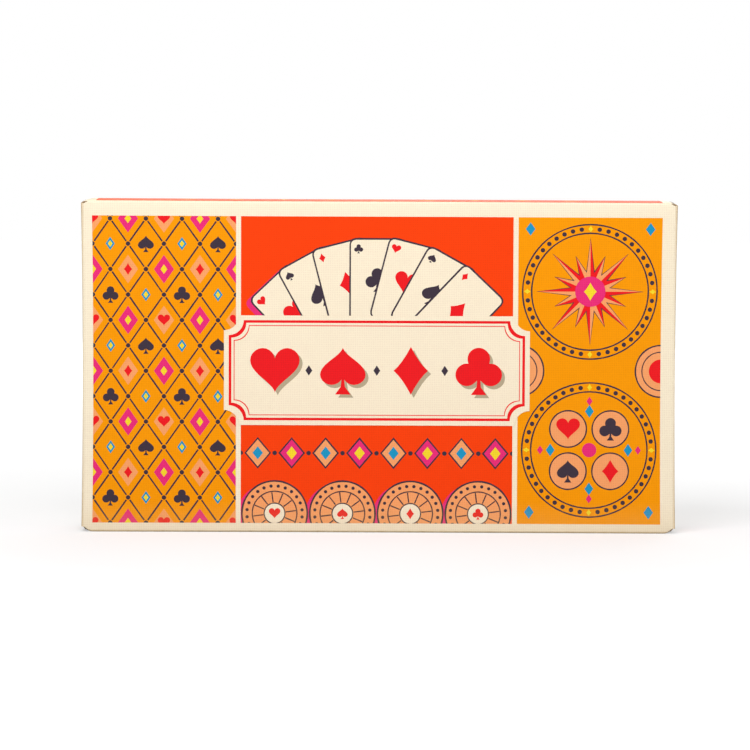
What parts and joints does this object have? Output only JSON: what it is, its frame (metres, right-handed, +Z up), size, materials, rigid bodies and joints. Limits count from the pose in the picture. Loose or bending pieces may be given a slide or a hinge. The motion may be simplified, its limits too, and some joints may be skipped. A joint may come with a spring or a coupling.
{
  "type": "boxed cribbage set",
  "caption": "Printed folding carton with tuck-in ends, standing on its long side, with a tray that holds a wooden cribbage board, pegs, cards and a rules sheet.",
  "frame": {"origin": "middle of the bottom of the bounding box, on the long side panel that the carton stands on", "axes": "+X along the carton, +Y from its printed front to its back, +Z up"},
  "size_m": [0.298, 0.0306, 0.1665],
  "materials": {
    "printed_paperboard": "printed",
    "greyboard": "matte",
    "beech": "satin",
    "brass": "polished",
    "white_paper": "coated"
  },
  "bodies": {
    "carton_and_contents": {"carton_front_panel": "printed_paperboard", "carton_back_panel": "printed_paperboard", "carton_top_panel": "printed_paperboard", "carton_bottom_panel": "printed_paperboard", "carton_glue_flap": "printed_paperboard", "tray_floor": "greyboard", "tray_long_wall_bottom": "greyboard", "tray_long_wall_top": "greyboard", "tray_end_wall_right": "greyboard", "tray_end_wall_left": "greyboard", "tray_long_divider": "greyboard", "tray_short_divider": "greyboard", "drilled_plank": "beech", "base_plank": "beech", "peg_1": "brass", "peg_2": "brass", "peg_3": "brass", "peg_4": "brass", "peg_5": "brass", "peg_6": "brass", "card_deck": "white_paper", "rules_sheet": "white_paper"},
    "right_closure": {"right_closure_panel": "printed_paperboard"},
    "right_tab": {"right_tuck_tab": "printed_paperboard"},
    "right_dust_top": {"right_dust_flap_top": "printed_paperboard"},
    "right_dust_bottom": {"right_dust_flap_bottom": "printed_paperboard"},
    "left_closure": {"left_closure_panel": "printed_paperboard"},
    "left_tab": {"left_tuck_tab": "printed_paperboard"},
    "left_dust_top": {"left_dust_flap_top": "printed_paperboard"},
    "left_dust_bottom": {"left_dust_flap_bottom": "printed_paperboard"},
    "peg_cover": {"peg_cover": "brass"}
  },
  "joints": [
    {"name": "right_closure_hinge", "type": "hinge", "parent": "carton_and_contents", "child": "right_closure", "pos_m": [0.14785, -0.01525, 0.08325], "axis": [0, 0, -1], "range_deg": [0, 120]},
    {"name": "right_tab_crease", "type": "hinge", "parent": "right_closure", "child": "right_tab", "pos_m": [0.148, 0.01155, 0.08325], "axis": [0, 0, -1], "range_deg": [-54, 0]},
    {"name": "right_dust_top_crease", "type": "hinge", "parent": "carton_and_contents", "child": "right_dust_top", "pos_m": [0.14695, 0, 0.1665], "axis": [0, -1, 0], "range_deg": [0, 54]},
    {"name": "right_dust_bottom_crease", "type": "hinge", "parent": "carton_and_contents", "child": "right_dust_bottom", "pos_m": [0.14695, 0, 0], "axis": [0, 1, 0], "range_deg": [0, 54]},
    {"name": "left_closure_hinge", "type": "hinge", "parent": "carton_and_contents", "child": "left_closure", "pos_m": [-0.14785, -0.01525, 0.08325], "axis": [0, 0, 1], "range_deg": [0, 120]},
    {"name": "left_tab_crease", "type": "hinge", "parent": "left_closure", "child": "left_tab", "pos_m": [-0.148, 0.01155, 0.08325], "axis": [0, 0, 1], "range_deg": [-54, 0]},
    {"name": "left_dust_top_crease", "type": "hinge", "parent": "carton_and_contents", "child": "left_dust_top", "pos_m": [-0.14695, 0, 0.1665], "axis": [0, 1, 0], "range_deg": [0, 54]},
    {"name": "left_dust_bottom_crease", "type": "hinge", "parent": "carton_and_contents", "child": "left_dust_bottom", "pos_m": [-0.14695, 0, 0], "axis": [0, -1, 0], "range_deg": [0, 54]},
    {"name": "peg_cover_slide", "type": "slide", "parent": "carton_and_contents", "child": "peg_cover", "axis": [1, 0, 0], "range_m": [0, 0.066]}
  ],
  "couplings": [
    {"joint": "right_tab_crease", "follows": "right_closure_hinge", "ratio": -0.45},
    {"joint": "right_dust_top_crease", "follows": "right_closure_hinge", "ratio": 0.45},
    {"joint": "right_dust_bottom_crease", "follows": "right_closure_hinge", "ratio": 0.45},
    {"joint": "left_tab_crease", "follows": "left_closure_hinge", "ratio": -0.45},
    {"joint": "left_dust_top_crease", "follows": "left_closure_hinge", "ratio": 0.45},
    {"joint": "left_dust_bottom_crease", "follows": "left_closure_hinge", "ratio": 0.45}
  ]
}
